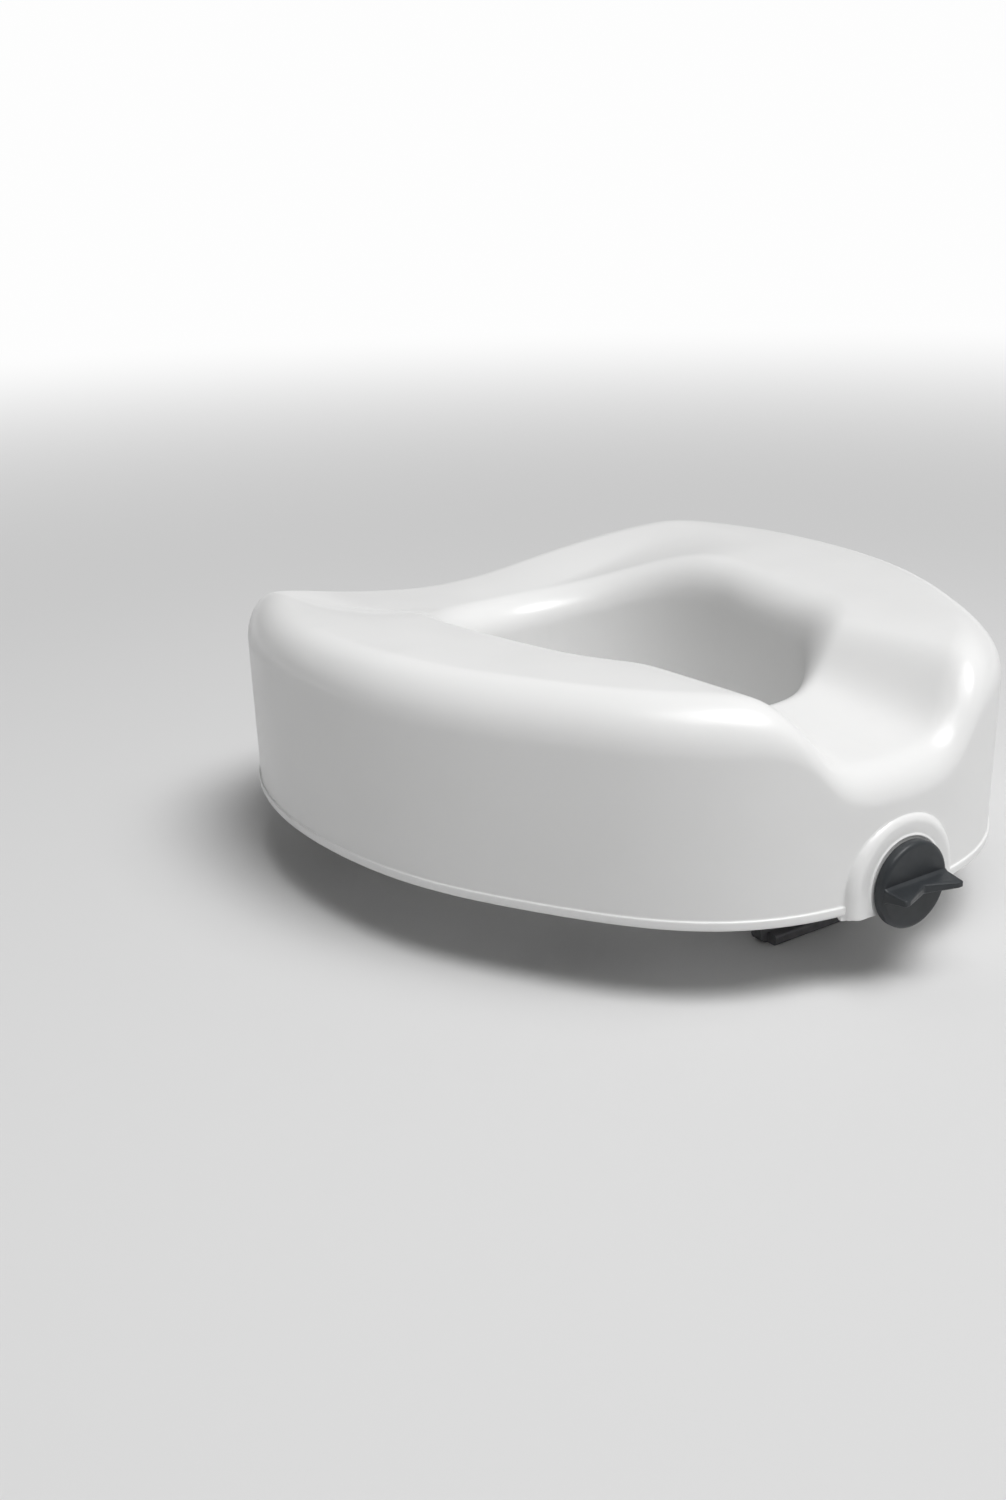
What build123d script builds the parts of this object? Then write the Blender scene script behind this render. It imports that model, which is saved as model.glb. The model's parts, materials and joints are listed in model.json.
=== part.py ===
"""Raised toilet seat with a front screw lock: a hollow moulded riser that sits on a toilet bowl's rim.

Frame: +Z up, +Y towards the back of the toilet, +X to the right of someone facing the tank.
The origin is on the rim plane, in the middle of the seat, on its plane of symmetry.
All lengths are in millimetres.
"""
from build123d import *
import math
import os

os.makedirs("parts", exist_ok=True)

# ---------------------------------------------------------------- driving dimensions
RISE = 127.0            # rim plane to the highest part of the seat (a 5 inch rise)
BODY_BOTTOM = 4.0       # the outer wall's lower edge, held off the rim by the rest pads
WALL = 3.4              # moulded wall thickness
BEAD_OUT = 1.3          # how far the parting bead stands out of the wall
BEAD_H = 5.0            # height of the straight part of the bead
DRAFT = 0.02            # outward lean of the outer wall, mm per mm of height
SKIRT_BOTTOM = -20.0    # lower end of the locating skirt inside the bowl
SKIRT_T = 8.0           # skirt thickness
# outer outline: radius from the origin every 22.5 degrees, from the front round to the back
OUTLINE = [226.0, 225.3, 208.8, 202.1, 208.1, 225.4, 249.6, 252.0, 236.1]
# opening: an egg made of two circles and their tangents
EGG_REAR_Y, EGG_REAR_R = 45.0, 95.0
EGG_FRONT_Y, EGG_FRONT_R = -28.0, 82.0
# front scoop and rear dip in the seating surface
SCOOP_HALF_W, SCOOP_SOFT = 54.0, 8.5     # half width at half depth, softness of the sides
SCOOP_DEPTH_OUT, SCOOP_DEPTH_IN = 46.5, 38.0
DIP_HALF_W, DIP_DEPTH = 165.0, 34.0

# lock
AXIS_Z = 15.5           # height of the lock screw's axis
BOSS_R = 38.5           # arch round the knob
BOSS_FACE_Y, BOSS_BACK_Y, BOSS_BOTTOM = -228.4, -217.0, 1.0
RING_RI, RING_RO, RING_Y = 25.3, 27.0, -229.1
CBORE_R, CBORE_FLOOR_Y = 15.5, -220.0
BAY_HALF_W, BAY_TOP = 23.0, 30.5
BAY_FRONT_Y, BAY_REAR_Y = -210.0, -122.0
LAND_HALF_W, LAND_TOP = 37.0, 20.0
BUSH_R, BUSH_FLANGE_R, BUSH_FLANGE_T = 9.0, 15.0, 3.0
KNOB_R, KNOB_BACK_Y, KNOB_FACE_Y = 24.6, -229.0, -235.6
HUB_R, HUB_END_Y = 12.0, -224.3
WING_TIP_Y, WING_NOTCH_Y = -249.6, -242.0
WING_ROOT_T, WING_TIP_T, WING_TIP_X = 6.8, 3.4, 20.2
SCREW_FRONT_Y, PIN_Y = -234.0, -226.6
SHANK_R, THREAD_R, ROOT_R, PITCH = 6.0, 8.0, 6.2, 6.0
THREAD_Y0, THREAD_Y1 = -202.0, -126.0
PILOT_R, PILOT_END_Y = 5.0, -115.5
RUN_CLEAR = 0.10        # radial clearance of the running fits
NUT_BORE_R = 8.3        # plain bore that stands in for the nut thread

# clamp bracket at rest, gripping a rim whose inner face is at JAW_Y
JAW_Y, JAW_PAD_T = -158.0, 3.0
TRAVEL = 24.0
LEG_T, LEG_HALF_W, LEG_TOP, FOOT_BOTTOM = 8.0, 34.0, -0.8, -40.0
BLOCK_Y0, BLOCK_Y1, BLOCK_HALF_W = -172.0, -148.0, 22.5
PLATE_T, PLATE_HALF_W = 2.0, 36.0
PLATE_Y0, PLATE_Y1 = -213.0, -119.5
NECK_HALF_W = 14.5

# rest pads, rear hooks, vent plug
PAD_L, PAD_W, PAD_PEG_R, PAD_PEG_H = 56.0, 20.0, 4.0, 2.6
PAD_SPOTS = [("front", 50.0, 160.0), ("rear", 126.0, 168.0)]
HOOK_ANGLE = 27.0       # each side of straight back, about the egg's rear centre
HOOK_SEAT_R = 101.4     # flat seat on the skirt, from the egg's rear centre
HOOK_HALF_W, HOOK_T, HOOK_BOTTOM, HOOK_LIP = 16.5, 5.0, -38.0, 11.0
HOOK_PAD_T = 2.5
PLUG_Y, PLUG_R = 176.0, 6.0


# ---------------------------------------------------------------- shape of the seat
def cosine_series(values):
    """Coefficients of the even cosine series through equally spaced samples on 0..180 degrees."""
    n = len(values) - 1
    out = []
    for k in range(n + 1):
        s = 0.5 * (values[0] + (-1) ** k * values[n])
        s += sum(values[j] * math.cos(math.pi * k * j / n) for j in range(1, n))
        out.append((2.0 if 0 < k < n else 1.0) * s / n)
    return out


OUTLINE_C = cosine_series(OUTLINE)


def r_outer(phi):
    """Radius of the bead's outside, phi in degrees from the front."""
    return sum(c * math.cos(k * math.radians(phi)) for k, c in enumerate(OUTLINE_C))


def r_inner(phi):
    """Radius of the opening's wall at the rim plane."""
    dx, dy = math.sin(math.radians(phi)), -math.cos(math.radians(phi))
    best = 0.0
    for i in range(201):
        s = i / 200
        cy = EGG_FRONT_Y + s * (EGG_REAR_Y - EGG_FRONT_Y)
        rr = EGG_FRONT_R + s * (EGG_REAR_R - EGG_FRONT_R)
        b = dy * cy
        disc = b * b - (cy * cy - rr * rr)
        if disc >= 0:
            best = max(best, b + math.sqrt(disc))
    return best


def smooth(x, a, b):
    t = min(1.0, max(0.0, (x - a) / (b - a)))
    return t * t * (3 - 2 * t)


def scoop_share(x, y):
    return smooth(-y, 30, 95) / (1 + math.exp((abs(x) - SCOOP_HALF_W) / SCOOP_SOFT))


def dip_share(x, y):
    u = abs(x) / DIP_HALF_W
    g = 1 - u * u
    g = 0.5 * (g + math.sqrt(g * g + 0.004))      # soft at the edge
    return g * smooth(y, 50, 160)


def top_z(x, y, across):
    """Seating surface. across runs from 0 at the outer wall to 1 at the opening."""
    depth = SCOOP_DEPTH_IN + (SCOOP_DEPTH_OUT - SCOOP_DEPTH_IN) * min(1.0, max(0.0, (-110 - y) / 116))
    z = RISE - 5.0 * across * across * (1 - scoop_share(x, y)) * (1 - 0.6 * dip_share(x, y))
    return z - depth * scoop_share(x, y) - DIP_DEPTH * dip_share(x, y)


def radii(x, y):
    """Rounding of the outer shoulder and of the roll into the opening."""
    wf, wr = scoop_share(x, y), dip_share(x, y)
    return 28.0 - 9.0 * wf - 5.0 * wr, 27.0 - 12.0 * wf - 4.0 * wr


def wall_r(phi, z):
    return r_outer(phi) - BEAD_OUT + DRAFT * (z - BODY_BOTTOM)


def inner_r(phi, z):
    return r_inner(phi) + 0.03 * max(0.0, z)


def crown(phi, inset):
    """Points of the section's top, from the outer wall's top to the inner wall's top."""
    sx, sy = math.sin(math.radians(phi)), -math.cos(math.radians(phi))
    ro, ri = wall_r(phi, 90.0) - inset, inner_r(phi, 80.0) + inset
    oR, _ = radii(ro * sx, ro * sy)
    _, iR = radii(ri * sx, ri * sy)
    oR, iR = max(oR - inset, 6.0), max(iR - inset, 6.0)

    def surf(r):
        across = min(1.0, max(0.0, (ro - r) / (ro - ri)))
        return top_z(r * sx, r * sy, across) - inset

    pts = []
    for a in (90, 72, 54, 36, 18, 0):
        r = ro - oR + oR * math.sin(math.radians(a))
        pts.append((r, surf(r) - oR * (1 - math.cos(math.radians(a)))))
    a, b = ro - oR, ri + iR
    for s in (0.25, 0.5, 0.75):
        r = a + (b - a) * s
        pts.append((r, surf(r)))
    for g in (0, 18, 36, 54, 72, 90):
        r = ri + iR - iR * math.sin(math.radians(g))
        pts.append((r, surf(r) - iR * (1 - math.cos(math.radians(g)))))
    return pts


def section_plane(phi):
    d = Vector(math.sin(math.radians(phi)), -math.cos(math.radians(phi)), 0)
    return Plane(origin=(0, 0, 0), x_dir=d, z_dir=d.cross(Vector(0, 0, 1)))


SECTIONS = [0, 4, 8, 11, 14, 17, 20, 23, 26, 30, 35, 41, 48, 58, 72, 88, 104, 118, 130, 141, 152, 163, 172, 180]

def box(x0, x1, y0, y1, z0, z1):
    """A plain block between two corners."""
    return Pos((x0 + x1) / 2, (y0 + y1) / 2, (z0 + z1) / 2) * Box(x1 - x0, y1 - y0, z1 - z0, mode=Mode.PRIVATE)


def along_y(y, x=0.0, z=AXIS_Z):
    """Plane facing +Y at y; a positive extrusion runs towards the back."""
    return Plane(origin=(x, y, z), x_dir=(-1, 0, 0), z_dir=(0, 1, 0))


def hook_frame(side):
    """Local X along the skirt, local Y straight out of it, at the rear hook on that side."""
    return Location((0, EGG_REAR_Y, 0), (0, 0, -side * HOOK_ANGLE))


def pad_frame(phi, radius, side):
    a = math.radians(phi)
    return Location((side * radius * math.sin(a), -radius * math.cos(a), 0), (0, 0, side * phi))


def finish(builder, name):
    builder.part.label = name
    export_step(builder.part, f"parts/{name}.step")
    print(f"{name:22s} valid={builder.part.is_valid} solids={len(builder.part.solids())} volume={builder.part.volume:.0f}")


# ---------------------------------------------------------------- seat body, one hollow moulding
with BuildPart() as half_outer:
    for phi in SECTIONS:
        ro, ri, zb = r_outer(phi), r_inner(phi), BODY_BOTTOM
        top = crown(phi, 0.0)
        with BuildSketch(section_plane(phi)):
            with BuildLine():
                Line((ro - 1.6, zb), (ro, zb + 1.6))
                Line((ro, zb + 1.6), (ro, zb + BEAD_H))
                Line((ro, zb + BEAD_H), (wall_r(phi, zb + BEAD_H + 1.6), zb + BEAD_H + 1.6))
                Line((wall_r(phi, zb + BEAD_H + 1.6), zb + BEAD_H + 1.6), top[0])
                Spline(*top, tangents=[(0.02, 1), (-0.03, -1)])
                Line(top[-1], (ri, SKIRT_BOTTOM + 2.5))
                Line((ri, SKIRT_BOTTOM + 2.5), (ri + 2.5, SKIRT_BOTTOM))
                Line((ri + 2.5, SKIRT_BOTTOM), (ri + SKIRT_T - 2.5, SKIRT_BOTTOM))
                Line((ri + SKIRT_T - 2.5, SKIRT_BOTTOM), (ri + SKIRT_T, SKIRT_BOTTOM + 2.5))
                Line((ri + SKIRT_T, SKIRT_BOTTOM + 2.5), (ri + SKIRT_T, zb))
                Line((ri + SKIRT_T, zb), (ro - 1.6, zb))
            make_face()
    loft()

with BuildPart() as half_cavity:
    for phi in SECTIONS:
        zb = BODY_BOTTOM + WALL
        top = crown(phi, WALL)
        with BuildSketch(section_plane(phi)):
            with BuildLine():
                ra, rb = wall_r(phi, zb) - WALL, r_inner(phi) + WALL + 1.0
                Line((ra - 3, zb), (ra, zb + 3))
                Line((ra, zb + 3), top[0])
                Spline(*top, tangents=[(0.02, 1), (-0.03, -1)])
                Line(top[-1], (rb, zb + 3))
                Line((rb, zb + 3), (rb + 3, zb))
                Line((rb + 3, zb), (ra - 3, zb))
            make_face()
    loft()

with BuildPart() as cavity:
    add(half_cavity.part)
    mirror(half_cavity.part, about=Plane.YZ)
    # solid walls round the lock bay and under its screws
    add(box(-BAY_HALF_W - WALL, BAY_HALF_W + WALL, -224, -112, 0, BAY_TOP + WALL), mode=Mode.SUBTRACT)
    add(box(-LAND_HALF_W, LAND_HALF_W, -224, -112, 0, LAND_TOP), mode=Mode.SUBTRACT)

with BuildPart() as boss:
    with BuildSketch(along_y(BOSS_FACE_Y)):
        Circle(BOSS_R)
        with Locations((0, -(AXIS_Z - BOSS_BOTTOM) / 2)):
            Rectangle(2 * BOSS_R, AXIS_Z - BOSS_BOTTOM)
        with Locations((0, BOSS_BOTTOM - AXIS_Z - 50)):
            Rectangle(200, 100, mode=Mode.SUBTRACT)
    extrude(amount=BOSS_BACK_Y - BOSS_FACE_Y)
    front = boss.faces().sort_by(Axis.Y)[0]
    fillet(front.edges(), 3.5)
    with BuildSketch(along_y(RING_Y)):
        Circle(RING_RO)
        Circle(RING_RI, mode=Mode.SUBTRACT)
        with Locations((0, BOSS_BOTTOM + 3.5 - AXIS_Z - 50)):
            Rectangle(200, 100, mode=Mode.SUBTRACT)
    extrude(amount=BOSS_FACE_Y - RING_Y)

with BuildPart() as bay:
    add(box(-BAY_HALF_W, BAY_HALF_W, BAY_FRONT_Y, BAY_REAR_Y, -5, BAY_TOP))
    fillet(bay.faces().sort_by(Axis.Z)[-1].edges(), 3.0)

with BuildPart() as seat_body:
    add(half_outer.part)
    mirror(half_outer.part, about=Plane.YZ)
    add(boss.part)
    add(cavity.part, mode=Mode.SUBTRACT)
    add(bay.part, mode=Mode.SUBTRACT)
    # bore for the bushing and recess for the knob's hub
    with BuildSketch(along_y(BOSS_FACE_Y - 5)):
        Circle(CBORE_R)
    extrude(amount=CBORE_FLOOR_Y - BOSS_FACE_Y + 5, mode=Mode.SUBTRACT)
    with BuildSketch(along_y(CBORE_FLOOR_Y - 1)):
        Circle(BUSH_R)
    extrude(amount=BAY_FRONT_Y - CBORE_FLOOR_Y + 2, mode=Mode.SUBTRACT)
    # blind pilot bore for the end of the screw
    with BuildSketch(along_y(BAY_REAR_Y - 1)):
        Circle(PILOT_R + RUN_CLEAR)
    extrude(amount=PILOT_END_Y - BAY_REAR_Y + 2.0, mode=Mode.SUBTRACT)
    # screw holes round the bay
    with BuildSketch(Plane.XY.offset(BODY_BOTTOM - 1)):
        with Locations((-30, -199), (30, -199), (-30, -128), (30, -128)):
            Circle(1.75)
    extrude(amount=11, mode=Mode.SUBTRACT)
    # sockets of the rest pads
    for _, phi, radius in PAD_SPOTS:
        for side in (-1, 1):
            with BuildSketch(Plane(pad_frame(phi, radius, side)).offset(BODY_BOTTOM - 1)):
                with Locations((-18, 0), (18, 0)):
                    Circle(PAD_PEG_R)
            extrude(amount=1 + PAD_PEG_H, mode=Mode.SUBTRACT)
    # flat seats and screw holes of the rear hooks
    for side in (-1, 1):
        add(hook_frame(side) * box(-HOOK_HALF_W - 0.5, HOOK_HALF_W + 0.5, HOOK_SEAT_R, HOOK_SEAT_R + 12, SKIRT_BOTTOM - 5, 0),
            mode=Mode.SUBTRACT)
        for x in (-9.5, 9.5):
            add(hook_frame(side) * Pos(x, HOOK_SEAT_R - 2.25, -9) * Rot(90, 0, 0) * Cylinder(1.75, 5.5, mode=Mode.PRIVATE), mode=Mode.SUBTRACT)
    # vent hole
    with BuildSketch(Plane.XY.offset(BODY_BOTTOM - 1)):
        with Locations((0, PLUG_Y)):
            Circle(PLUG_R)
    extrude(amount=WALL + 2, mode=Mode.SUBTRACT)
finish(seat_body, "seat_body")

# ---------------------------------------------------------------- lock: bushing, washers, knob, screw
with BuildPart() as front_bushing:
    with BuildSketch(along_y(CBORE_FLOOR_Y - BUSH_FLANGE_T)):
        Circle(BUSH_FLANGE_R)
    extrude(amount=BUSH_FLANGE_T)
    with BuildSketch(along_y(CBORE_FLOOR_Y)):
        Circle(BUSH_R)
    extrude(amount=BAY_FRONT_Y - CBORE_FLOOR_Y)
    with BuildSketch(along_y(CBORE_FLOOR_Y - BUSH_FLANGE_T)):
        Circle(SHANK_R + RUN_CLEAR)
    extrude(amount=30, mode=Mode.SUBTRACT)
    chamfer(front_bushing.edges().filter_by(GeomType.CIRCLE).group_by(Axis.Y)[0].sort_by(SortBy.RADIUS)[-1], 0.6)
finish(front_bushing, "front_bushing")

with BuildPart() as thrust_washer_front:
    with BuildSketch(along_y(CBORE_FLOOR_Y - BUSH_FLANGE_T - 1.1)):
        Circle(13.0)
        Circle(SHANK_R + RUN_CLEAR, mode=Mode.SUBTRACT)
    extrude(amount=1.1)
finish(thrust_washer_front, "thrust_washer_front")

with BuildPart() as wing:
    with BuildSketch(Plane.XY.offset(AXIS_Z - WING_ROOT_T / 2)):
        with BuildLine():
            Polyline((-23.6, KNOB_FACE_Y + 2.5), (23.6, KNOB_FACE_Y + 2.5), (WING_TIP_X + 1.6, WING_TIP_Y), (WING_TIP_X - 1.6, WING_TIP_Y),
                     (0, WING_NOTCH_Y), (-WING_TIP_X + 1.6, WING_TIP_Y), (-WING_TIP_X - 1.6, WING_TIP_Y), close=True)
        make_face()
    extrude(amount=WING_ROOT_T)
    # thinner towards the tips
    with BuildSketch(Plane.YZ):
        with BuildLine():
            Polyline((KNOB_FACE_Y + 2.5, AXIS_Z - WING_ROOT_T / 2), (KNOB_FACE_Y + 2.5, AXIS_Z + WING_ROOT_T / 2),
                     (WING_TIP_Y - 0.5, AXIS_Z + WING_TIP_T / 2), (WING_TIP_Y - 0.5, AXIS_Z - WING_TIP_T / 2), close=True)
        make_face()
    extrude(amount=40, both=True, mode=Mode.INTERSECT)
    fillet(wing.edges().filter_by(lambda e: abs(e.center().Z - AXIS_Z) < 0.01 and e.center().Y < KNOB_FACE_Y), 1.3)
    fillet(wing.edges().filter_by(lambda e: abs(e.center().Z - AXIS_Z) > 1 and e.center().Y < KNOB_FACE_Y - 2), 0.9)

with BuildPart() as lock_knob:
    with BuildSketch(along_y(KNOB_BACK_Y)):
        Circle(KNOB_R)
    extrude(amount=KNOB_FACE_Y - KNOB_BACK_Y)
    fillet(lock_knob.edges().filter_by(GeomType.CIRCLE).sort_by(Axis.Y)[0], 2.6)
    fillet(lock_knob.edges().filter_by(GeomType.CIRCLE).sort_by(Axis.Y)[-1], 1.0)
    add(wing.part)
    with BuildSketch(along_y(KNOB_BACK_Y)):
        Circle(HUB_R)
    extrude(amount=HUB_END_Y - KNOB_BACK_Y)
    with BuildSketch(along_y(HUB_END_Y)):
        Circle(SHANK_R)
    extrude(amount=SCREW_FRONT_Y - HUB_END_Y, mode=Mode.SUBTRACT)
    add(Pos(0, PIN_Y, AXIS_Z) * Cylinder(1.5, 40, mode=Mode.PRIVATE), mode=Mode.SUBTRACT)
finish(lock_knob, "lock_knob")

with BuildPart() as knob_pin:
    add(Pos(0, PIN_Y, AXIS_Z) * Cylinder(1.5, 2 * HUB_R - 0.6, mode=Mode.PRIVATE))
    chamfer(knob_pin.edges().filter_by(GeomType.CIRCLE), 0.3)
finish(knob_pin, "knob_pin")

with BuildPart() as thread:
    with BuildLine() as helix_line:
        Helix(PITCH, THREAD_Y1 - THREAD_Y0 - 4, ROOT_R, center=(0, 0, 2))
    with BuildSketch(Plane(origin=helix_line.line @ 0, x_dir=(1, 0, 0), z_dir=helix_line.line % 0)):
        with BuildLine():
            h = THREAD_R - ROOT_R
            Polyline((-0.5, -2.0), (0, -1.8), (h, -0.95), (h, 0.95), (0, 1.8), (-0.5, 2.0), close=True)
        make_face()
    sweep(path=helix_line.line, is_frenet=True)

with BuildPart() as clamp_screw:
    with BuildSketch(along_y(SCREW_FRONT_Y)):
        Circle(SHANK_R)
    extrude(amount=THREAD_Y0 - SCREW_FRONT_Y)
    with BuildSketch(along_y(THREAD_Y0)):
        Circle(ROOT_R)
    extrude(amount=THREAD_Y1 - THREAD_Y0)
    with BuildSketch(along_y(THREAD_Y1)):
        Circle(PILOT_R)
    extrude(amount=PILOT_END_Y - THREAD_Y1)
    chamfer(clamp_screw.edges().filter_by(GeomType.CIRCLE).sort_by(Axis.Y)[-1], 0.6)
    add(Pos(0, THREAD_Y0, AXIS_Z) * Rot(-90, 0, 0) * thread.part)
    # pin hole and clip groove
    add(Pos(0, PIN_Y, AXIS_Z) * Cylinder(1.5, 40, mode=Mode.PRIVATE), mode=Mode.SUBTRACT)
    with BuildSketch(along_y(BAY_FRONT_Y + 1.3)):
        Circle(SHANK_R + 1)
        Circle(SHANK_R - 1, mode=Mode.SUBTRACT)
    extrude(amount=1.2, mode=Mode.SUBTRACT)
finish(clamp_screw, "clamp_screw")

with BuildPart() as thrust_washer_rear:
    with BuildSketch(along_y(BAY_FRONT_Y)):
        Circle(11.5)
        Circle(SHANK_R + RUN_CLEAR, mode=Mode.SUBTRACT)
    extrude(amount=1.1)
finish(thrust_washer_rear, "thrust_washer_rear")

with BuildPart() as retaining_clip:
    with BuildSketch(along_y(BAY_FRONT_Y + 1.3)):
        Circle(10.0)
        Circle(SHANK_R - 1, mode=Mode.SUBTRACT)
        with Locations((0, -8)):
            Rectangle(8.4, 16, mode=Mode.SUBTRACT)
        with Locations((-8.6, 3.4), (8.6, 3.4)):
            Circle(1.7, mode=Mode.SUBTRACT)
    extrude(amount=1.1)
finish(retaining_clip, "retaining_clip")

# ---------------------------------------------------------------- clamp bracket, its pad and rivets
with BuildPart() as clamp_bracket:
    add(box(-BLOCK_HALF_W, BLOCK_HALF_W, BLOCK_Y0, BLOCK_Y1, BODY_BOTTOM + 0.5, BAY_TOP - 1.2))
    fillet(clamp_bracket.faces().sort_by(Axis.Z)[-1].edges().filter_by(Axis.Y), 3.5)
    add(box(-NECK_HALF_W, NECK_HALF_W, BLOCK_Y0, BLOCK_Y1, 1.4, BODY_BOTTOM + 1))
    leg_front = JAW_Y + JAW_PAD_T
    with BuildSketch(along_y(leg_front, z=0)):
        with Locations((0, (LEG_TOP + FOOT_BOTTOM) / 2)):
            RectangleRounded(2 * LEG_HALF_W, LEG_TOP - FOOT_BOTTOM, 5)
    extrude(amount=LEG_T)
    add(box(-NECK_HALF_W, NECK_HALF_W, leg_front, leg_front + LEG_T - 1, LEG_TOP - 6, 2.4))
    add(box(-LEG_HALF_W + 5, LEG_HALF_W - 5, leg_front - 7, leg_front + 1, FOOT_BOTTOM, FOOT_BOTTOM + 6))
    add(box(-LEG_HALF_W + 8, LEG_HALF_W - 8, leg_front + LEG_T - 1, leg_front + LEG_T + 3.2, -34, -31))
    for x in (-10, 10):
        add(box(x - 1.8, x + 1.8, leg_front + LEG_T - 1, leg_front + LEG_T + 3.2, -34, LEG_TOP - 3))
    fillet(clamp_bracket.edges().filter_by(Axis.X).filter_by(lambda e: e.center().Y < leg_front - 6 and e.center().Z < -30), 1.5)
    with BuildSketch(along_y(BLOCK_Y0 - 1)):
        Circle(NUT_BORE_R)
    extrude(amount=BLOCK_Y1 - BLOCK_Y0 + 2, mode=Mode.SUBTRACT)
    with BuildSketch(along_y(leg_front - 1, z=-16)):
        with Locations((-21, 0), (21, 0)):
            Circle(2.5)
    extrude(amount=LEG_T + 2, mode=Mode.SUBTRACT)
finish(clamp_bracket, "clamp_bracket")

with BuildPart() as clamp_pad:
    with BuildSketch(along_y(JAW_Y, z=-16)):
        RectangleRounded(60, 25, 4)
        with Locations((-21, 0), (21, 0)):
            Circle(4.0, mode=Mode.SUBTRACT)
    extrude(amount=JAW_PAD_T)
    # grip grooves across the contact face
    for z in (-25, -20.5, -11.5, -7):
        add(box(-24, 24, JAW_Y - 1, JAW_Y + 0.8, z - 0.8, z + 0.8), mode=Mode.SUBTRACT)
finish(clamp_pad, "clamp_pad")

with BuildPart() as clamp_rivets:
    for x in (-21, 21):
        with BuildSketch(along_y(leg_front - 1.5, x=x, z=-16)):
            Circle(4.0)
        extrude(amount=1.5)
        with BuildSketch(along_y(leg_front, x=x, z=-16)):
            Circle(2.5)
        extrude(amount=LEG_T)
        with BuildSketch(along_y(leg_front + LEG_T, x=x, z=-16)):
            Circle(4.5)
        extrude(amount=1.6)
    fillet(clamp_rivets.edges().filter_by(GeomType.CIRCLE).group_by(Axis.Y)[-1], 1.0)
finish(clamp_rivets, "clamp_rivets")

# ---------------------------------------------------------------- guide plate under the lock bay
SCREW_SPOTS = [(-30, -199), (30, -199), (-30, -128), (30, -128)]
with BuildPart() as guide_plate:
    with BuildSketch(Plane.XY.offset(BODY_BOTTOM - PLATE_T)):
        with Locations((0, (PLATE_Y0 + PLATE_Y1) / 2)):
            RectangleRounded(2 * PLATE_HALF_W, PLATE_Y1 - PLATE_Y0, 5)
        with Locations((0, (BLOCK_Y0 + BLOCK_Y1 + TRAVEL) / 2)):
            RectangleRounded(2 * NECK_HALF_W + 1.2, BLOCK_Y1 - BLOCK_Y0 + TRAVEL + 1.0, 0.8, mode=Mode.SUBTRACT)
        with Locations(*SCREW_SPOTS):
            Circle(1.75, mode=Mode.SUBTRACT)
    extrude(amount=PLATE_T)
    chamfer(guide_plate.faces().sort_by(Axis.Z)[0].outer_wire().edges(), 0.5)
finish(guide_plate, "guide_plate")

with BuildPart() as guide_screws:
    for x, y in SCREW_SPOTS:
        with BuildSketch(Plane.XY.offset(0.4)):
            with Locations((x, y)):
                Circle(3.6)
        extrude(amount=BODY_BOTTOM - PLATE_T - 0.4)
        with BuildSketch(Plane.XY.offset(BODY_BOTTOM - PLATE_T)):
            with Locations((x, y)):
                Circle(1.75)
        extrude(amount=12 - PLATE_T)
    fillet(guide_screws.edges().filter_by(GeomType.CIRCLE).group_by(Axis.Z)[0], 0.7)
    for x, y in SCREW_SPOTS:
        add(Pos(x, y, 0.8) * Box(4.0, 0.9, 1.0, mode=Mode.PRIVATE), mode=Mode.SUBTRACT)
        add(Pos(x, y, 0.8) * Box(0.9, 4.0, 1.0, mode=Mode.PRIVATE), mode=Mode.SUBTRACT)
finish(guide_screws, "guide_screws")

# ---------------------------------------------------------------- rest pads on the toilet rim
for end, phi, radius in PAD_SPOTS:
    for side, word in ((-1, "left"), (1, "right")):
        frame = pad_frame(phi, radius, side)
        with BuildPart() as rest_pad:
            with BuildSketch(Plane(frame)):
                SlotOverall(PAD_L, PAD_W)
            extrude(amount=BODY_BOTTOM)
            chamfer(rest_pad.faces().sort_by(Axis.Z)[0].edges(), 0.8)
            with BuildSketch(Plane(frame).offset(BODY_BOTTOM)):
                with Locations((-18, 0), (18, 0)):
                    Circle(PAD_PEG_R)
            extrude(amount=PAD_PEG_H)
        finish(rest_pad, f"rest_pad_{end}_{word}")

# ---------------------------------------------------------------- rear hooks on the skirt
for side, word in ((-1, "left"), (1, "right")):
    place = hook_frame(side)
    y0 = HOOK_SEAT_R
    with BuildPart() as hook:
        add(box(-HOOK_HALF_W, HOOK_HALF_W, y0, y0 + HOOK_T, HOOK_BOTTOM, -1))
        add(box(-HOOK_HALF_W, HOOK_HALF_W, y0 + HOOK_T - 1, y0 + HOOK_T + HOOK_LIP, HOOK_BOTTOM, HOOK_BOTTOM + 4.5))
        fillet(hook.edges().filter_by(Axis.Z), 1.5)
        for x in (-HOOK_HALF_W + 2, HOOK_HALF_W - 2):
            with BuildSketch(Plane(origin=(x - 1.5, 0, 0), x_dir=(0, 1, 0), z_dir=(1, 0, 0))):
                with BuildLine():
                    a, b = y0 + HOOK_T - 0.5, HOOK_BOTTOM + 4
                    Polyline((a, b), (a + 9, b), (a, b + 12), close=True)
                make_face()
            extrude(amount=3)
        for x in (-9.5, 9.5):
            add(Pos(x, y0 + HOOK_T / 2, -9) * Rot(90, 0, 0) * Cylinder(1.75, HOOK_T + 2, mode=Mode.PRIVATE), mode=Mode.SUBTRACT)
    with BuildPart() as rear_hook:
        add(place * hook.part)
    finish(rear_hook, f"rear_hook_{word}")
    with BuildPart() as pad:
        with BuildSketch(Plane(origin=(0, y0 + HOOK_T, -23.5), x_dir=(-1, 0, 0), z_dir=(0, 1, 0))):
            RectangleRounded(23, 17, 3)
        extrude(amount=HOOK_PAD_T)
        chamfer(pad.faces().sort_by(Axis.Y)[-1].edges(), 0.6)
    with BuildPart() as hook_pad:
        add(place * pad.part)
    finish(hook_pad, f"hook_pad_{word}")

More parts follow.
